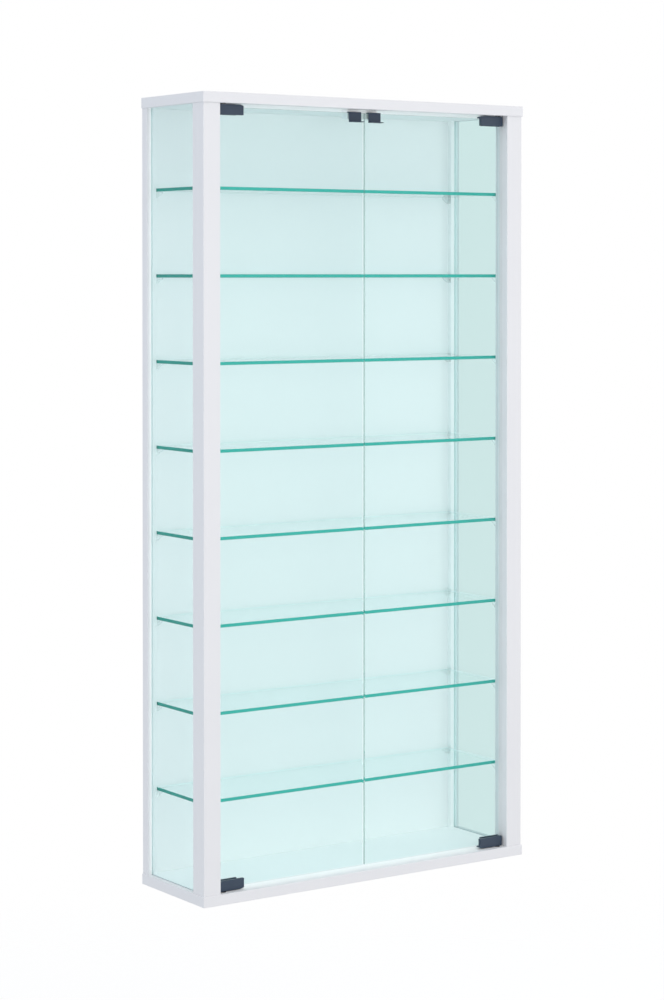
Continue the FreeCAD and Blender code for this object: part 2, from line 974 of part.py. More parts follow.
def on_both_doors(name, items, label):
    """Top and bottom pieces of the left door as one set, and the same for the right door."""
    upper = group(name + "_upper", items)
    both = group(name, [upper, mirror(name + "_lower", upper, UP, middle)])
    keep(both, f"{label}_left")
    keep(mirror(name + "_other", both, RIGHT), f"{label}_right")


on_both_doors("liners", liners, "hinge_liners")
on_both_doors("grip_screws", set_screws, "hinge_set_screws")
on_both_doors("pins", [pin], "hinge_pins")

# A bent steel clip hooks over each door's top edge, with a lip to pull the door by and a narrower
# rear leg that meets the magnet.
pad_front = -size.clip_pad_thickness
plate_front = pad_front - size.clip_thickness
pad_rear = size.door_thickness + size.clip_pad_thickness
plate_rear = pad_rear + size.clip_thickness
lip_front = plate_front - size.clip_lip_length
lip_bottom = -size.clip_front_height
lip_top = lip_bottom + size.clip_thickness
clip_outline = [
    (plate_front, size.clip_thickness),
    (plate_front, lip_top),
    (lip_front, lip_top),
    (lip_front, lip_bottom),
    (pad_front, lip_bottom),
    (pad_front, 0),
    (pad_rear, 0),
    (pad_rear, -size.clip_rear_height),
    (plate_rear, -size.clip_rear_height),
    (plate_rear, size.clip_thickness),
]
clip_bend = outline_body("clip_bend", "YZ_Plane", clip_outline, size.clip_width)
place(clip_bend, clip_left, door_front, door_top)
clip_rear_reliefs = [
    box(
        f"clip_rear_relief_{spot}",
        x,
        door_front + pad_rear,
        door_top - size.clip_rear_height - size.cut_overrun,
        size.clip_rear_inset + size.cut_overrun,
        size.clip_thickness + size.cut_overrun,
        size.clip_rear_height + size.clip_thickness + size.cut_overrun * 2,
    )
    for spot, x in (
        ("near", clip_left - size.cut_overrun),
        ("far", clip_left + size.clip_width - size.clip_rear_inset),
    )
]
clip = cut("clip", clip_bend, clip_rear_reliefs)
keep(clip, "strike_clip_left")
keep(mirror("clip_other", clip, RIGHT), "strike_clip_right")
front_pad_inset = size.clip_pad_margin
rear_pad_inset = size.clip_pad_margin + size.clip_rear_inset
clip_pads = group(
    "clip_pads",
    [
        box(
            f"clip_pad_{spot}",
            clip_left + inset,
            y,
            door_top - reach + size.clip_pad_margin,
            size.clip_width - inset * 2,
            size.clip_pad_thickness,
            reach - size.clip_pad_margin * 2,
        )
        for spot, y, reach, inset in (
            ("front", door_front - size.clip_pad_thickness, size.clip_front_height, front_pad_inset),
            ("rear", door_rear, size.clip_rear_height, rear_pad_inset),
        )
    ],
)
keep(clip_pads, "strike_pads_left")
keep(mirror("clip_pads_other", clip_pads, RIGHT), "strike_pads_right")

# Build everything, make sure that each piece is sound, and write one file for each.
doc.recompute()
for item in doc.Objects:
    if "Invalid" in item.State or "Error" in item.State:
        raise RuntimeError(f"{item.Name} failed: {item.State}")
for node in nodes:
    if node.Shape.isNull() or not node.Shape.isValid():
        raise RuntimeError(f"{node.Label} has no sound shape")
os.makedirs("parts", exist_ok=True)
for node in nodes:
    node.Shape.exportStep(f"parts/{node.Label}.step")
    print(node.Label, len(node.Shape.Solids), round(node.Shape.Volume, 1))
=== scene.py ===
import math

import bmesh
import bpy
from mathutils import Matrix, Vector


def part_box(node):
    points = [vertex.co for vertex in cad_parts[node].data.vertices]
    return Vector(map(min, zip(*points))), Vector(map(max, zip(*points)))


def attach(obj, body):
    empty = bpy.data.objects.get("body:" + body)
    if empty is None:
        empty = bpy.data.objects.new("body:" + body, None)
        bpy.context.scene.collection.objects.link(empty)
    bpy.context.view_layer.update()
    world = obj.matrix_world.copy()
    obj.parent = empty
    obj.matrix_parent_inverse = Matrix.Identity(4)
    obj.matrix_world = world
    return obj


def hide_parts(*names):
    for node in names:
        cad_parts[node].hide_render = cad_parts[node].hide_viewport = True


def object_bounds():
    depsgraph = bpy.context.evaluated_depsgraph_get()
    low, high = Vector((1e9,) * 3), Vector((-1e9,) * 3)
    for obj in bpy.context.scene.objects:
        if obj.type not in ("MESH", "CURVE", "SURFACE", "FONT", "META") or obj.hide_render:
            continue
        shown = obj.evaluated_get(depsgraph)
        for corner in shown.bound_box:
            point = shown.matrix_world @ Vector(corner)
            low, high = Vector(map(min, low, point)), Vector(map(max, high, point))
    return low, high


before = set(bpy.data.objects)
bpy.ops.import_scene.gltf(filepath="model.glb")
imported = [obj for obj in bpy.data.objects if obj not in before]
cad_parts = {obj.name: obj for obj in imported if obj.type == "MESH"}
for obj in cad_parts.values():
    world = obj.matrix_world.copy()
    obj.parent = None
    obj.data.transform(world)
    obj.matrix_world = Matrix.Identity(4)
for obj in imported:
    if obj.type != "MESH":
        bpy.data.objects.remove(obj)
cad_low, cad_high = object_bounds()

# Top and bottom boards: 16 mm particle board under white melamine foil, with glued strips on its edges.
# They lie over and under the posts and are screwed down on them. The foil that the glass shuts in
# is painted whiter than the foil outside, as painted light inside the cabinet.
MM = 0.001
FOIL_DEEP = (0.706, 0.701, 0.723, 1)
FOIL_PALE = (0.73, 0.726, 0.744, 1)
# Painted light: the foil inside the cabinet takes these whiter tones.
PAINTED_LIGHT_INSIDE_DEEP = (0.925, 0.928, 0.93, 1)
PAINTED_LIGHT_INSIDE_PALE = (0.945, 0.946, 0.947, 1)
FOIL_DRIFT = 7.0
FOIL_PEARL = 1500.0
PEARL_DEPTH = 0.02 * MM
FOIL_SMOOTH = 0.36
FOIL_ROUGH = 0.48
STRIP_THICKNESS = 0.8 * MM
SEAM_HALF_WIDTH = 0.12 * MM
SEAM_TONE = (0.56, 0.565, 0.58, 1)
UNDERSIDE_PAINTED_SHADE = (0.69, 0.705, 0.72, 1)
UNDERSIDE_SHADE_SHARE = 0.2
LYING_FLAT = 0.7
INSIDE_SLACK = 0.5 * MM
CLOUD_LOW = 0.3
CLOUD_HIGH = 0.7
# The numbers of the sockets that a Mix node uses for colours.
MIX_SHARE = 0
MIX_FIRST = 6
MIX_SECOND = 7
MIX_RESULT = 2


def start_finish(name):
    """A new node material, its tree and the shader of its surface."""
    finish = bpy.data.materials.new(name)
    finish.use_nodes = True
    tree = finish.node_tree
    return finish, tree, tree.nodes["Principled BSDF"]


def add(tree, kind, **settings):
    """A node of that kind, with its settings."""
    node = tree.nodes.new("ShaderNode" + kind)
    for setting, value in settings.items():
        setattr(node, setting, value)
    return node


def feed(tree, socket, value):
    """Sets a socket, from another socket or from a plain value."""
    if isinstance(value, bpy.types.NodeSocket):
        tree.links.new(value, socket)
    else:
        socket.default_value = value


def reckon(tree, operation, *values):
    """The outcome of one sum."""
    node = add(tree, "Math", operation=operation)
    for socket, value in zip(node.inputs, values):
        feed(tree, socket, value)
    return node.outputs["Value"]


def axes(tree, source):
    """X, Y and Z of the place on the piece (Object) or of the way its surface faces (Normal)."""
    where = add(tree, "TexCoord")
    parts = add(tree, "SeparateXYZ")
    tree.links.new(where.outputs[source], parts.inputs["Vector"])
    return parts.outputs["X"], parts.outputs["Y"], parts.outputs["Z"]


def clouds(tree, per_metre, detail=2.0, stretch=(1, 1, 1)):
    """Soft random values over the surface, so many clouds to the metre."""
    where = add(tree, "TexCoord")
    drawn = add(tree, "Mapping")
    drawn.inputs["Scale"].default_value = stretch
    noise = add(tree, "TexNoise")
    noise.inputs["Scale"].default_value = per_metre
    noise.inputs["Detail"].default_value = detail
    tree.links.new(where.outputs["Object"], drawn.inputs["Vector"])
    tree.links.new(drawn.outputs["Vector"], noise.inputs["Vector"])
    return noise.outputs["Fac"]


def tint(tree, share, first, second):
    """A colour that goes from the first to the second with share."""
    blend = add(tree, "Mix", data_type="RGBA")
    feed(tree, blend.inputs[MIX_SHARE], share)
    feed(tree, blend.inputs[MIX_FIRST], first)
    feed(tree, blend.inputs[MIX_SECOND], second)
    return blend.outputs[MIX_RESULT]


def spread(tree, share, low, high):
    """The middle of the range that clouds fill, drawn out to run from low to high."""
    scale = add(tree, "MapRange")
    scale.inputs["From Min"].default_value = CLOUD_LOW
    scale.inputs["From Max"].default_value = CLOUD_HIGH
    scale.inputs["To Min"].default_value = low
    scale.inputs["To Max"].default_value = high
    tree.links.new(share, scale.inputs["Value"])
    return scale.outputs["Result"]


def relief(tree, skin, height, depth):
    """Raises the surface by height times depth in its shading."""
    bump = add(tree, "Bump")
    bump.inputs["Distance"].default_value = depth
    tree.links.new(height, bump.inputs["Height"])
    tree.links.new(bump.outputs["Normal"], skin.inputs["Normal"])


def ramp(tree, place, start, end):
    """A soft rise from 0 at the start to 1 at the end."""
    rise = add(tree, "MapRange", interpolation_type="SMOOTHSTEP")
    rise.inputs["From Min"].default_value = start
    rise.inputs["From Max"].default_value = end
    tree.links.new(place, rise.inputs["Value"])
    return rise.outputs["Result"]


def painted_light_inside(tree, nearest, sideways, backwards):
    """1 where the foil inside the cabinet takes the painted light, farther than nearest from its middle,
    and 0 outside.

    It fades out between two distances sideways and comes in between two backwards.
    """
    across, back, height = axes(tree, "Object")
    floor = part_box("bottom_panel")[1].z
    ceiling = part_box("top_panel")[0].z
    half_height = (ceiling - floor) / 2 + INSIDE_SLACK
    aside = reckon(tree, "ABSOLUTE", across)
    share = reckon(tree, "MULTIPLY", ramp(tree, aside, *reversed(sideways)), ramp(tree, back, *backwards))
    for within in (
        reckon(tree, "GREATER_THAN", aside, nearest),
        reckon(tree, "LESS_THAN", back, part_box("back_panel")[1].y),
        reckon(tree, "COMPARE", height, (ceiling + floor) / 2, half_height),
    ):
        share = reckon(tree, "MULTIPLY", share, within)
    return share


def foil(name, nearest, sideways, backwards):
    """White melamine foil with a faint drift of tone, a fine pearl grain and a satin shine. Inside the
    cabinet it is painted whiter, as painted light.
    """
    finish, tree, skin = start_finish(name)
    drift = clouds(tree, FOIL_DRIFT)
    outside = tint(tree, drift, FOIL_DEEP, FOIL_PALE)
    inside = tint(tree, drift, PAINTED_LIGHT_INSIDE_DEEP, PAINTED_LIGHT_INSIDE_PALE)
    tone = tint(tree, painted_light_inside(tree, nearest, sideways, backwards), outside, inside)
    tree.links.new(tone, skin.inputs["Base Color"])
    pearl = clouds(tree, FOIL_PEARL, detail=1.0)
    tree.links.new(spread(tree, pearl, FOIL_SMOOTH, FOIL_ROUGH), skin.inputs["Roughness"])
    relief(tree, skin, pearl, PEARL_DEPTH)
    return finish, tree, skin, tone


def dress(names, finish):
    """Gives these pieces of the frame a finish."""
    for name in names:
        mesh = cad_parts[name].data
        mesh.materials.clear()
        mesh.materials.append(finish)


board_low, board_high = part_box("top_panel")
past_doors = (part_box("front_post_right")[0].y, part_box("door_glass_right")[1].y)
within_glass = tuple(corner.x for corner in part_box("side_glass_right"))
board_foil, tree, skin, tone = foil("board_foil", 0, within_glass, past_doors)
across, back, _ = axes(tree, "Object")
up = axes(tree, "Normal")[2]
from_end = reckon(tree, "SUBTRACT", board_high.x, reckon(tree, "ABSOLUTE", across))
from_front = reckon(tree, "SUBTRACT", back, board_low.y)
from_edge = reckon(tree, "MINIMUM", from_end, from_front)
hairline = reckon(tree, "COMPARE", from_edge, STRIP_THICKNESS, SEAM_HALF_WIDTH)
broad = reckon(tree, "GREATER_THAN", reckon(tree, "ABSOLUTE", up), LYING_FLAT)
seam = reckon(tree, "MULTIPLY", broad, hairline)
# Foil that faces down is painted a shade darker, as painted shade on the undersides of the boards.
underside = reckon(tree, "LESS_THAN", up, -LYING_FLAT)
shaded = tint(tree, reckon(tree, "MULTIPLY", underside, UNDERSIDE_SHADE_SHARE), tone, UNDERSIDE_PAINTED_SHADE)
tree.links.new(tint(tree, seam, shaded, SEAM_TONE), skin.inputs["Base Color"])
dress(["top_panel", "bottom_panel"], board_foil)

# Posts: fibreboard strips wrapped in the same white foil, two deep ones in front, two slim ones behind.
# Each stands between the boards on a dowel and a screw at both ends, and a groove down its length
# holds the edge of the side glass.
# The posts are painted whiter where the glass shuts them in too, as painted light, also along their
# grooves.
groove_mouth = within_glass[0] - INSIDE_SLACK
beside_glass = (within_glass[1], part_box("front_post_right")[1].x)
to_groove = (past_doors[1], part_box("side_glass_right")[0].y)
front_foil = foil("front_post_foil", groove_mouth, beside_glass, to_groove)[0]
rear_foil = foil("rear_post_foil", 0, beside_glass, past_doors)[0]
dress(["front_post_left", "front_post_right"], front_foil)
dress(["rear_post_left", "rear_post_right"], rear_foil)

# Back panel: 3 mm hardboard, lacquered white on the face that shows and left bare towards the wall,
# where the wire screen of the press has marked it. It is slid into grooves in the boards and the
# rear posts, and closes the cabinet behind.
LACQUER_DEEP = (0.915, 0.918, 0.92, 1)
LACQUER_PALE = (0.935, 0.935, 0.935, 1)
LACQUER_DRIFT = 5.0
LACQUER_ROUGHNESS = 0.55
FIBRE_DEEP = (0.195, 0.12, 0.068, 1)
FIBRE_PALE = (0.335, 0.225, 0.137, 1)
FIBRE_GRAIN = 800.0
FIBRE_STRETCH = (1, 1, 0.35)
FIBRE_MOTTLE = 60.0
SCREEN_PITCH = 1.8 * MM
SCREEN_DEPTH = 0.12 * MM
FACING_BACK = 0.5
panel_finish, tree, skin = start_finish("lacquered_hardboard")
lacquer = tint(tree, clouds(tree, LACQUER_DRIFT), LACQUER_DEEP, LACQUER_PALE)
fibres = clouds(tree, FIBRE_GRAIN, detail=6.0, stretch=FIBRE_STRETCH)
both_grains = reckon(tree, "ADD", fibres, clouds(tree, FIBRE_MOTTLE, detail=5.0))
pressed = spread(tree, reckon(tree, "DIVIDE", both_grains, 2.0), 0.0, 1.0)
bare = tint(tree, pressed, FIBRE_DEEP, FIBRE_PALE)
to_wall = reckon(tree, "GREATER_THAN", axes(tree, "Normal")[1], FACING_BACK)
tree.links.new(tint(tree, to_wall, lacquer, bare), skin.inputs["Base Color"])
skin.inputs["Roughness"].default_value = LACQUER_ROUGHNESS
across, _, along = axes(tree, "Object")
wires = [
    reckon(tree, "SINE", reckon(tree, "MULTIPLY", place, 2 * math.pi / SCREEN_PITCH))
    for place in (across, along)
]
screen = reckon(tree, "MULTIPLY", reckon(tree, "ADD", *wires), to_wall)
relief(tree, skin, reckon(tree, "ADD", screen, fibres), SCREEN_DEPTH)
dress(["back_panel"], panel_finish)

# Side panes: 4 mm clear float glass with ground arrises, one in each side of the cabinet.
# They stand in grooves in the posts and boards, a little back from their outer faces.
# The glass bends light less than real glass, as the photo shows hardly any reflections in it.
GLASS_TINT = (0.795, 0.902, 0.9, 1)
LIGHT_LET_IN = (0.98, 1, 1, 1)
GLASS_BEND = 1.18
GLASS_WAVES = 4.0
WAVE_DEPTH = 0.008 * MM
PANE_ARRIS = 0.5 * MM
ARRIS_FACETS = 2
ARRIS_ROUND = 0.5
FLAT_ON = 0.99
GROUND_DEEP = (0.78, 0.9, 0.89, 1)
GROUND_PALE = (0.85, 0.94, 0.93, 1)
GROUND_GRAIN = 900.0
GROUND_SMOOTH = 0.4
GROUND_ROUGH = 0.6
GROUND_SHINE = 0.1
# Painted highlight: the pale tone a ground edge takes where it is seen through the glass itself.
PAINTED_GLEAM = (0.9, 0.97, 0.97, 1)


def choose(tree, share, first, second):
    """A surface that goes from the first shader to the second with share."""
    mix = add(tree, "MixShader")
    feed(tree, mix.inputs[0], share)
    tree.links.new(first, mix.inputs[1])
    tree.links.new(second, mix.inputs[2])
    return mix.outputs["Shader"]


def float_glass(name, colour):
    """Clear glass with a cool tint, which lets lamp light and bounced light straight through."""
    finish, tree, skin = start_finish(name)
    skin.inputs["Base Color"].default_value = colour
    skin.inputs["Roughness"].default_value = 0.0
    skin.inputs["IOR"].default_value = GLASS_BEND
    skin.inputs["Transmission Weight"].default_value = 1.0
    relief(tree, skin, clouds(tree, GLASS_WAVES, detail=0.0), WAVE_DEPTH)
    through = add(tree, "BsdfTransparent")
    through.inputs["Color"].default_value = LIGHT_LET_IN
    path = add(tree, "LightPath")
    seen = skin.outputs["BSDF"]
    for ray in ("Is Diffuse Ray", "Is Shadow Ray"):
        seen = choose(tree, path.outputs[ray], seen, through.outputs["BSDF"])
    tree.links.new(seen, tree.nodes["Material Output"].inputs["Surface"])
    return finish


def pane(name, node, body, faces, edges):
    """A glass plate in the place of its CAD node, with ground arrises and its own edge finish."""
    low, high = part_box(node)
    size = high - low
    thin = min(range(3), key=lambda axis: size[axis])
    plate = bmesh.new()
    bmesh.ops.create_cube(plate, size=1.0)
    for corner in plate.verts:
        corner.co = Vector(low[axis] + size[axis] * (corner.co[axis] + 0.5) for axis in range(3))
    bmesh.ops.bevel(
        plate,
        geom=plate.edges[:],
        offset=PANE_ARRIS,
        segments=ARRIS_FACETS,
        profile=ARRIS_ROUND,
        affect="EDGES",
    )
    plate.normal_update()
    largest = max(face.calc_area() for face in plate.faces)
    for face in plate.faces:
        is_broad = abs(face.normal[thin]) > FLAT_ON and face.calc_area() > largest / 2
        face.material_index = 0 if is_broad else 1
    mesh = bpy.data.meshes.new(name)
    plate.to_mesh(mesh)
    plate.free()
    mesh.materials.append(faces)
    mesh.materials.append(edges)
    piece = bpy.data.objects.new(name, mesh)
    bpy.context.scene.collection.objects.link(piece)
    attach(piece, body)
    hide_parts(node)


def ground_edge(name, deep, pale):
    """The matt green edge of cut and ground glass, its tone still to be laid on."""
    finish, tree, skin = start_finish(name)
    grit = clouds(tree, GROUND_GRAIN)
    tone = tint(tree, spread(tree, grit, 0.0, 1.0), deep, pale)
    tree.links.new(spread(tree, grit, GROUND_SMOOTH, GROUND_ROUGH), skin.inputs["Roughness"])
    skin.inputs["Specular IOR Level"].default_value = GROUND_SHINE
    return finish, tree, skin, tone


def from_within(tree):
    """1 where an edge is seen through the glass itself, and 0 where it is seen from outside."""
    return add(tree, "NewGeometry").outputs["Backfacing"]


side_finish = float_glass("side_float_glass", GLASS_TINT)
side_edge, tree, skin, tone = ground_edge("ground_side_edge", GROUND_DEEP, GROUND_PALE)
# The edge seen through the pane is painted pale, as a painted highlight.
tree.links.new(tint(tree, from_within(tree), tone, PAINTED_GLEAM), skin.inputs["Base Color"])
for side in ("left", "right"):
    pane(f"side_pane_{side}", f"side_glass_{side}", "carcass", side_finish, side_edge)

# Shelves: eight plates of 5 mm float glass, ground all round, so their edges glow blue-green.
# They lie loose on four small supports each, just short of the posts. The long front edge is bright, the
# ends are painted deeper as painted shade, and the rear edge is painted pale as a painted reflection of the
# white panel close behind it.
SHELF_TINT = (0.91, 0.985, 0.98, 1)
SHELF_COUNT = 8
FRONT_DEEP = (0.05, 0.435, 0.368, 1)
FRONT_PALE = (0.075, 0.515, 0.442, 1)
END_PAINTED_SHADE = (0.002, 0.295, 0.24, 1)
REAR_PAINTED_REFLECTION = (0.83, 0.93, 0.925, 1)
shelf_finish = float_glass("shelf_float_glass", SHELF_TINT)
shelf_edge, tree, skin, front = ground_edge("ground_shelf_edge", FRONT_DEEP, FRONT_PALE)
to_side, to_back, _ = axes(tree, "Normal")
# Painted shade on the ends and a painted reflection of the white panel on the rear edge.
ends = tint(tree, reckon(tree, "ABSOLUTE", to_side), front, END_PAINTED_SHADE)
rear = tint(tree, reckon(tree, "GREATER_THAN", to_back, FACING_BACK), ends, REAR_PAINTED_REFLECTION)
# The edge seen through the shelf is painted pale, as a painted highlight.
tree.links.new(tint(tree, from_within(tree), rear, PAINTED_GLEAM), skin.inputs["Base Color"])
for number in range(1, SHELF_COUNT + 1):
    pane(f"shelf_plate_{number}", f"shelf_{number}", "carcass", shelf_finish, shelf_edge)

# Shelf supports: small brackets moulded in clear plastic, four to a shelf.
# Each has a peg that is pressed into a hole in its post, and a flat tongue that the glass lies on.
CLEAR_DEEP = (0.84, 0.91, 0.91, 1)
CLEAR_PALE = (0.93, 0.97, 0.97, 1)
CLEAR_FLOW = 250.0
CLEAR_SMOOTH = 0.08
CLEAR_ROUGH = 0.18
CLEAR_COVER = 0.2
support_finish, tree, skin = start_finish("clear_support_plastic")
flow = clouds(tree, CLEAR_FLOW)
tree.links.new(tint(tree, flow, CLEAR_DEEP, CLEAR_PALE), skin.inputs["Base Color"])
tree.links.new(spread(tree, flow, CLEAR_SMOOTH, CLEAR_ROUGH), skin.inputs["Roughness"])
skin.inputs["Alpha"].default_value = CLEAR_COVER
dress([f"shelf_supports_{number}" for number in range(1, SHELF_COUNT + 1)], support_finish)

# Fixings of the frame: zinc-plated connecting screws and beech dowels that join the boards to the posts.
# The screws run through the boards into the ends of the posts, and white caps close the sunk holes
# over their heads.
ZINC_DEEP = (0.5, 0.5, 0.48, 1)
ZINC_PALE = (0.66, 0.66, 0.64, 1)
ZINC_GRAIN = 900.0
ZINC_SMOOTH = 0.25
ZINC_ROUGH = 0.4
CAP_DEEP = (0.77, 0.775, 0.785, 1)
CAP_PALE = (0.8, 0.805, 0.81, 1)
CAP_ROUGHNESS = 0.45
MOULD_GRAIN = 1600.0
MOULD_DEPTH = 0.015 * MM
MOULD_UNEVEN = 0.06
BEECH_DEEP = (0.42, 0.27, 0.15, 1)
BEECH_PALE = (0.6, 0.42, 0.26, 1)
BEECH_GRAIN = 600.0
ALONG_GRAIN = (1, 1, 0.1)
BEECH_SMOOTH = 0.6
BEECH_ROUGH = 0.75


def bare_metal(name, grain, smooth, rough, stretch=(1, 1, 1)):
    """Metal whose shine drifts with a fine grain, its colour still to be laid on."""
    finish, tree, skin = start_finish(name)
    marks = clouds(tree, grain, stretch=stretch)
    tree.links.new(spread(tree, marks, smooth, rough), skin.inputs["Roughness"])
    skin.inputs["Metallic"].default_value = 1.0
    return finish, tree, skin, marks


def metal(name, deep, pale, grain, smooth, rough, stretch=(1, 1, 1)):
    """Metal whose colour and shine drift with the same fine grain."""
    finish, tree, skin, marks = bare_metal(name, grain, smooth, rough, stretch)
    tree.links.new(tint(tree, marks, deep, pale), skin.inputs["Base Color"])
    return finish


def moulding(name, deep, pale, roughness):
    """Moulded plastic with the fine eroded grain of its mould."""
    finish, tree, skin = start_finish(name)
    grain = clouds(tree, MOULD_GRAIN)
    tree.links.new(tint(tree, grain, deep, pale), skin.inputs["Base Color"])
    uneven = spread(tree, grain, roughness - MOULD_UNEVEN, roughness + MOULD_UNEVEN)
    tree.links.new(uneven, skin.inputs["Roughness"])
    relief(tree, skin, grain, MOULD_DEPTH)
    return finish


zinc = metal("zinc_plated_steel", ZINC_DEEP, ZINC_PALE, ZINC_GRAIN, ZINC_SMOOTH, ZINC_ROUGH)
dress(["post_screws"], zinc)
dress(["screw_caps"], moulding("white_cap_plastic", CAP_DEEP, CAP_PALE, CAP_ROUGHNESS))
beech, tree, skin = start_finish("beech")
grain = clouds(tree, BEECH_GRAIN, detail=4.0, stretch=ALONG_GRAIN)
tree.links.new(tint(tree, spread(tree, grain, 0.0, 1.0), BEECH_DEEP, BEECH_PALE), skin.inputs["Base Color"])
tree.links.new(spread(tree, grain, BEECH_SMOOTH, BEECH_ROUGH), skin.inputs["Roughness"])
dress(["post_dowels"], beech)

# Wall hangers: two keyhole plates stamped from galvanised sheet steel, let in flush behind the rear posts.
# Two short screws hold each. The cabinet is hooked over a pair of wall screws with them.
SPANGLE_DEEP = (0.46, 0.475, 0.49, 1)
SPANGLE_PALE = (0.68, 0.69, 0.7, 1)
SPANGLES = 260.0
SPANGLE_SMOOTH = 0.32
SPANGLE_ROUGH = 0.5
SCREWS_APART = 8.0 * MM
RIM_DEPTH = 0.5 * MM
RECESS_TAPER = 0.6
TURNED_SIDES = 32
SHARP_ANGLE = math.radians(30)
HANGER_SCREW = ((0, 3.0), (1.5, 1.5), (10.0, 1.5))
CROSS_ARM = 1.75 * MM
CROSS_WIDTH = 0.7 * MM
CROSS_DEPTH = 1.1 * MM


def screw_faces(node, out):
    """The middles of the faces of a node's plain screws, found from their outermost rims."""
    points = [corner.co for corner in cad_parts[node].data.vertices]
    outermost = max(point.dot(out) for point in points)
    rims = []
    for point in points:
        if outermost - point.dot(out) > RIM_DEPTH:
            continue
        near = [rim for rim in rims if (rim[0] - point).length < SCREWS_APART]
        if near:
            near[0].append(point)
        else:
            rims.append([point])
    spans = [[(min(axis), max(axis)) for axis in zip(*rim)] for rim in rims]
    return [Vector((low + high) / 2 for low, high in span) for span in spans]


def cross_recess():
    """The outline of a cross recess, one arm after another."""
    half = CROSS_WIDTH / 2
    arm = [(CROSS_ARM, -half), (CROSS_ARM, half), (half, half)]
    outline = []
    for _ in range(4):
        outline += arm
        arm = [(-rise, aside) for aside, rise in arm]
    return outline


def turned_screws(name, node, way, steps, recess, depth, finish, body):
    """Turned screws in the place of a node's plain ones, with a driver recess sunk in each face.

    The steps give how deep below the face the screw has which radius, in millimetres.
    """
    out = Vector(way)
    sideways = out.orthogonal().normalized()
    upright = out.cross(sideways)
    angles = [2 * math.pi * side / TURNED_SIDES for side in range(TURNED_SIDES)]
    blank = bmesh.new()
    for face in screw_faces(node, out):
        loops = []
        for sunk, radius in steps:
            circle = [(radius * MM * math.cos(angle), radius * MM * math.sin(angle)) for angle in angles]
            loops.append((sunk * MM, circle))
        loops.append((0, recess))
        loops.append((depth, [(aside * RECESS_TAPER, rise * RECESS_TAPER) for aside, rise in recess]))
        made = []
        for sunk, outline in loops:
            middle = face - out * sunk
            spots = [middle + sideways * aside + upright * rise for aside, rise in outline]
            made.append([blank.verts.new(spot) for spot in spots])
        *rings, mouth, seat = made
        for first, second in [*zip(rings, rings[1:]), (mouth, seat)]:
            for here in range(len(first)):
                beside = (here + 1) % len(first)
                blank.faces.new((first[here], second[here], second[beside], first[beside]))
        blank.faces.new(rings[-1])
        blank.faces.new(seat)
        open_edges = [edge for edge in blank.edges if edge.is_boundary]
        bmesh.ops.triangle_fill(blank, use_beauty=True, edges=open_edges)
    bmesh.ops.recalc_face_normals(blank, faces=blank.faces[:])
    mesh = bpy.data.meshes.new(name)
    blank.to_mesh(mesh)
    blank.free()
    mesh.shade_smooth()
    mesh.set_sharp_from_angle(angle=SHARP_ANGLE)
    mesh.materials.append(finish)
    piece = bpy.data.objects.new(name, mesh)
    bpy.context.scene.collection.objects.link(piece)
    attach(piece, body)
    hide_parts(node)


hanger_finish, tree, skin, _ = bare_metal("galvanised_sheet", SPANGLES, SPANGLE_SMOOTH, SPANGLE_ROUGH)
where = add(tree, "TexCoord")
flakes = add(tree, "TexVoronoi")
flakes.inputs["Scale"].default_value = SPANGLES
tree.links.new(where.outputs["Object"], flakes.inputs["Vector"])
flake = add(tree, "SeparateColor")
tree.links.new(flakes.outputs["Color"], flake.inputs["Color"])
tree.links.new(tint(tree, flake.outputs["Red"], SPANGLE_DEEP, SPANGLE_PALE), skin.inputs["Base Color"])
dress(["hanger_plate_left", "hanger_plate_right"], hanger_finish)
turned_screws(
    "hanger_screw_set",
    "hanger_screws",
    way=(0, 1, 0),
    steps=HANGER_SCREW,
    recess=cross_recess(),
    depth=CROSS_DEPTH,
    finish=zinc,
    body="carcass",
)

# Door catch: a white plastic block with two nickel-plated magnets, screwed up under the top board.
# It stands behind the meeting edges of the doors, where the magnets hold their strike clips.
CATCH_DEEP = (0.88, 0.885, 0.89, 1)
CATCH_PALE = (0.905, 0.91, 0.915, 1)
CATCH_ROUGHNESS = 0.4
NICKEL_DEEP = (0.52, 0.51, 0.48, 1)
NICKEL_PALE = (0.62, 0.61, 0.58, 1)
NICKEL_GRAIN = 700.0
NICKEL_SMOOTH = 0.16
NICKEL_ROUGH = 0.28
CATCH_SCREW = ((0, 2.5), (0.4, 2.85), (0.8, 2.98), (2.0, 2.98), (2.0, 1.5), (18.0, 1.5))
dress(["magnet_catch_housing"], moulding("catch_plastic", CATCH_DEEP, CATCH_PALE, CATCH_ROUGHNESS))
nickel = metal("nickel_plating", NICKEL_DEEP, NICKEL_PALE, NICKEL_GRAIN, NICKEL_SMOOTH, NICKEL_ROUGH)
dress(["catch_magnets"], nickel)
turned_screws(
    "catch_screw_pair",
    "catch_screws",
    way=(0, 0, -1),
    steps=CATCH_SCREW,
    recess=cross_recess(),
    depth=CROSS_DEPTH,
    finish=zinc,
    body="carcass",
)

# Pivot bushes: four short sleeves turned from black nylon, pressed into the boards near the front posts.
# The pins of the hinges turn in them.
NYLON_DEEP = (0.012, 0.013, 0.016, 1)
NYLON_PALE = (0.02, 0.022, 0.026, 1)
NYLON_ROUGHNESS = 0.5
dress(["pivot_bushes"], moulding("black_nylon", NYLON_DEEP, NYLON_PALE, NYLON_ROUGHNESS))

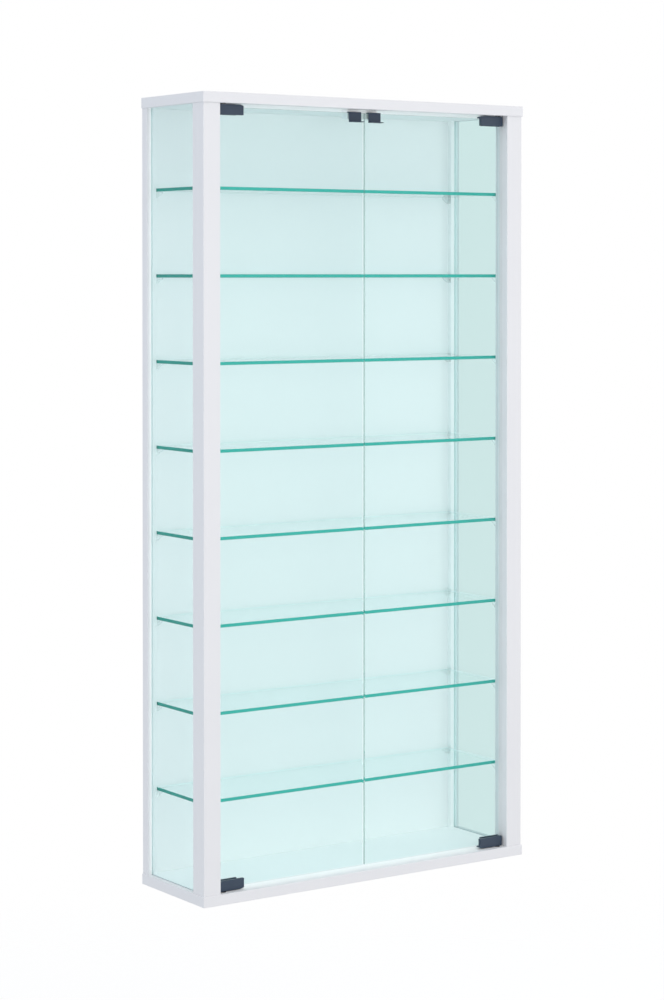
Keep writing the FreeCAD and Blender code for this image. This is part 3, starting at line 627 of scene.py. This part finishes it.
# Doors: two frameless plates of 4 mm float glass that meet in the middle with a narrow gap.
# Their edges are ground and polished until they are half clear, and a narrow gap is left to the boards
# and posts all round.
DOOR_TINT = (0.768, 0.882, 0.874, 1)
DOOR_EDGE_DEEP = (0.12, 0.37, 0.31, 1)
DOOR_EDGE_PALE = (0.17, 0.44, 0.375, 1)
DOOR_EDGE_COVER = 0.5
door_finish = float_glass("door_float_glass", DOOR_TINT)
door_edge, tree, skin, tone = ground_edge("polished_door_edge", DOOR_EDGE_DEEP, DOOR_EDGE_PALE)
tree.links.new(tone, skin.inputs["Base Color"])
from_outside = reckon(tree, "SUBTRACT", 1.0, from_within(tree))
tree.links.new(reckon(tree, "MULTIPLY", from_outside, DOOR_EDGE_COVER), skin.inputs["Alpha"])
for side in ("left", "right"):
    pane(f"door_plate_{side}", f"door_glass_{side}", f"{side}_door", door_finish, door_edge)

# Corner hinges: die-cast clamps in dark slate powder coat, at the top and bottom corner of each door.
# The glass sits in the clamp between thin rubber liners, two blackened set screws in the shorter
# rear jaw tighten it, and a bright steel pin in the front jaw turns in the bush of the board.
SLATE_DEEP = (0.015, 0.032, 0.061, 1)
SLATE_PALE = (0.025, 0.044, 0.077, 1)
SLATE_DRIFT = 60.0
SLATE_GRIT = 1200.0
GRIT_DEPTH = 0.03 * MM
GRIT_SMOOTH = 0.38
GRIT_ROUGH = 0.52
RUBBER_DEEP = (0.016, 0.017, 0.019, 1)
RUBBER_PALE = (0.028, 0.029, 0.031, 1)
RUBBER_ROUGHNESS = 0.75
BLACK_DEEP = (0.045, 0.046, 0.05, 1)
BLACK_PALE = (0.08, 0.08, 0.085, 1)
BLACK_SMOOTH = 0.35
BLACK_ROUGH = 0.5
BRIGHT_DEEP = (0.58, 0.58, 0.59, 1)
BRIGHT_PALE = (0.7, 0.7, 0.71, 1)
BRIGHT_SMOOTH = 0.18
BRIGHT_ROUGH = 0.3
TURNING_MARKS = (0.2, 0.2, 4)
SET_SCREW = ((0, 1.65), (0.35, 2.0), (4.0, 2.0))
SOCKET_SIDES = 6
SOCKET_RADIUS = 1.15 * MM
SOCKET_DEPTH = 1.6 * MM


def powder_coat(name, deep, pale):
    """Baked powder paint with the fine orange-peel grit of its grains."""
    finish, tree, skin = start_finish(name)
    grit = clouds(tree, SLATE_GRIT)
    tree.links.new(tint(tree, clouds(tree, SLATE_DRIFT), deep, pale), skin.inputs["Base Color"])
    tree.links.new(spread(tree, grit, GRIT_SMOOTH, GRIT_ROUGH), skin.inputs["Roughness"])
    relief(tree, skin, grit, GRIT_DEPTH)
    return finish


slate = powder_coat("slate_powder_coat", SLATE_DEEP, SLATE_PALE)
rubber = moulding("dark_rubber", RUBBER_DEEP, RUBBER_PALE, RUBBER_ROUGHNESS)
blackened = metal("blackened_steel", BLACK_DEEP, BLACK_PALE, ZINC_GRAIN, BLACK_SMOOTH, BLACK_ROUGH)
bright = metal(
    "turned_steel", BRIGHT_DEEP, BRIGHT_PALE, ZINC_GRAIN, BRIGHT_SMOOTH, BRIGHT_ROUGH, stretch=TURNING_MARKS
)
corner_angles = [2 * math.pi * corner / SOCKET_SIDES for corner in range(SOCKET_SIDES)]
hexagon = [(SOCKET_RADIUS * math.cos(angle), SOCKET_RADIUS * math.sin(angle)) for angle in corner_angles]
for side in ("left", "right"):
    dress([f"hinge_clamp_{side}_top", f"hinge_clamp_{side}_bottom"], slate)
    dress([f"hinge_liners_{side}"], rubber)
    dress([f"hinge_pins_{side}"], bright)
    turned_screws(
        f"hinge_grub_screws_{side}",
        f"hinge_set_screws_{side}",
        way=(0, 1, 0),
        steps=SET_SCREW,
        recess=hexagon,
        depth=SOCKET_DEPTH,
        finish=blackened,
        body=f"{side}_door",
    )

# Strike clips: small clips folded from steel sheet and powder coated, one at the top of each meeting edge.
# They grip the glass over thin rubber pads. The magnets pull on them, and the lip in front opens the door.
CLIP_DEEP = (0.007, 0.022, 0.05, 1)
CLIP_PALE = (0.015, 0.033, 0.066, 1)
clip_finish = powder_coat("clip_powder_coat", CLIP_DEEP, CLIP_PALE)
dress(["strike_clip_left", "strike_clip_right"], clip_finish)
dress(["strike_pads_left", "strike_pads_right"], rubber)

# Studio: a pale round floor well below the hung cabinet, which fades out into a white surround.
# It is seen only from above, so that it doesn't hide the underside of the cabinet.
FLOOR_LEVEL = -1.87
FLOOR_RADIUS = 3.2
FLOOR_FADE = 1.8
FLOOR_SIDES = 96
FLOOR_WHITE = (0.78, 0.78, 0.78, 1)
FLOOR_ROUGHNESS = 0.9
FLOOR_SHARE = 0.7
FLOOR_GLOW = 1.1
disc = bmesh.new()
bmesh.ops.create_circle(disc, cap_ends=True, segments=FLOOR_SIDES, radius=FLOOR_RADIUS)
floor_mesh = bpy.data.meshes.new("studio_floor")
disc.to_mesh(floor_mesh)
disc.free()
floor = bpy.data.objects.new("studio_floor", floor_mesh)
floor.location = (0, (cad_low.y + cad_high.y) / 2, FLOOR_LEVEL)
bpy.context.scene.collection.objects.link(floor)


def looked_at(tree):
    """1 for what the camera sees itself, mirrored in metal or through glass, and 0 for other light."""
    path = add(tree, "LightPath")
    mirrored = reckon(tree, "MAXIMUM", path.outputs["Is Glossy Ray"], path.outputs["Is Transmission Ray"])
    return reckon(tree, "MAXIMUM", path.outputs["Is Camera Ray"], mirrored)


floor_finish, tree, skin = start_finish("studio_floor_white")
skin.inputs["Base Color"].default_value = FLOOR_WHITE
skin.inputs["Roughness"].default_value = FLOOR_ROUGHNESS
skin.inputs["Specular IOR Level"].default_value = 0.0
white = add(tree, "Emission")
white.inputs["Strength"].default_value = FLOOR_GLOW
lit = reckon(tree, "MULTIPLY", looked_at(tree), FLOOR_SHARE)
paper = choose(tree, lit, skin.outputs["BSDF"], white.outputs["Emission"])
where = add(tree, "TexCoord")
reach = add(tree, "VectorMath", operation="LENGTH")
tree.links.new(where.outputs["Object"], reach.inputs[0])
fade = ramp(tree, reach.outputs["Value"], FLOOR_FADE, FLOOR_RADIUS)
from_below = add(tree, "NewGeometry").outputs["Backfacing"]
gone = add(tree, "BsdfTransparent")
hidden = reckon(tree, "MAXIMUM", fade, from_below)
faded = choose(tree, hidden, paper, gone.outputs["BSDF"])
tree.links.new(faded, tree.nodes["Material Output"].inputs["Surface"])
floor_mesh.materials.append(floor_finish)

# Surround: an even, slightly blue sky that pales upwards and lights the cabinet from all sides.
# The camera sees plain white in its place, also mirrored in metal and through glass.
SKY_LOW = (0.745, 0.782, 0.828, 1)
SKY_HIGH = (0.96, 0.98, 1.0, 1)
SKY_STRENGTH = 0.96
SKY_FROM = -0.1
SKY_TO = 0.9
BACKDROP_WHITE = (1, 1, 1, 1)
world = bpy.data.worlds.new("studio_sky")
bpy.context.scene.world = world
world.use_nodes = True
tree = world.node_tree
sky = tree.nodes["Background"]
sky.inputs["Strength"].default_value = SKY_STRENGTH
height = add(tree, "MapRange")
height.inputs["From Min"].default_value = SKY_FROM
height.inputs["From Max"].default_value = SKY_TO
tree.links.new(axes(tree, "Generated")[2], height.inputs["Value"])
tree.links.new(tint(tree, height.outputs["Result"], SKY_LOW, SKY_HIGH), sky.inputs["Color"])
backdrop = add(tree, "Background")
backdrop.inputs["Color"].default_value = BACKDROP_WHITE
backdrop.inputs["Strength"].default_value = 1.0
seen = choose(tree, looked_at(tree), sky.outputs["Background"], backdrop.outputs["Background"])
tree.links.new(seen, tree.nodes["World Output"].inputs["Surface"])

# Lamps: four large softboxes, a warm one in front, one overhead, one at the right
# that fills the inside through the glass, and a weaker blue one at the left.
WARM = (1.0, 0.965, 0.92)
PLAIN = (1.0, 0.98, 0.96)
COOL = (0.5, 0.74, 1.0)


def softbox(name, place, aim, width, height, watts, colour):
    """A flat soft lamp at that place, turned to what it lights."""
    light = bpy.data.lights.new(name, "AREA")
    light.shape = "RECTANGLE"
    light.size = width
    light.size_y = height
    light.energy = watts
    light.color = colour
    lamp = bpy.data.objects.new(name, light)
    lamp.location = place
    lamp.rotation_euler = (Vector(aim) - Vector(place)).to_track_quat("-Z", "Y").to_euler()
    bpy.context.scene.collection.objects.link(lamp)


softbox(
    "front_softbox", place=(-0.6, -2.2, -0.3), aim=(-0.1, -0.18, -0.3),
    width=1.4, height=1.0, watts=10.1, colour=WARM,
)
softbox(
    "overhead_softbox", place=(-0.2, -1.6, 2.0), aim=(0, -0.1, -0.6),
    width=2.4, height=1.4, watts=11.0, colour=PLAIN,
)
softbox(
    "right_softbox", place=(2.4, -1.2, -0.3), aim=(0.2, -0.1, -0.5),
    width=1.2, height=2.0, watts=12.0, colour=PLAIN,
)
softbox(
    "left_softbox", place=(-2.6, 0.2, 0.1), aim=(-0.3, -0.1, -0.3),
    width=1.2, height=2.0, watts=6.8, colour=COOL,
)

# Camera: a long lens at the height of the upper shelves, off to the left, turned down a little.
# The frame is shifted down for the rest, which keeps the posts upright as in the photograph.
# Light is followed through many surfaces, since a line of sight can cross several panes.
CAMERA_PLACE = (-2.20806, -3.27382, -0.18932)
CAMERA_TURN = math.radians(34.6299)
CAMERA_DIP = math.radians(0.9238)
CAMERA_LENS = 89.312
CAMERA_SENSOR = 36.0
CAMERA_SHIFT = -0.185
CAMERA_REACH = 50.0
ALL_BOUNCES = 24
SOFT_BOUNCES = 12
CLEAR_LAYERS = 40
camera_data = bpy.data.cameras.new("camera")
camera_data.sensor_width = CAMERA_SENSOR
camera_data.lens = CAMERA_LENS
camera_data.shift_y = CAMERA_SHIFT
camera_data.clip_end = CAMERA_REACH
camera = bpy.data.objects.new("camera", camera_data)
camera.location = CAMERA_PLACE
camera.rotation_euler = (math.pi / 2 - CAMERA_DIP, 0, -CAMERA_TURN)
bpy.context.scene.collection.objects.link(camera)
scene = bpy.context.scene
scene.camera = camera
scene.view_settings.view_transform = "Standard"
scene.cycles.max_bounces = ALL_BOUNCES
scene.cycles.diffuse_bounces = SOFT_BOUNCES
scene.cycles.transmission_bounces = ALL_BOUNCES
scene.cycles.transparent_max_bounces = CLEAR_LAYERS
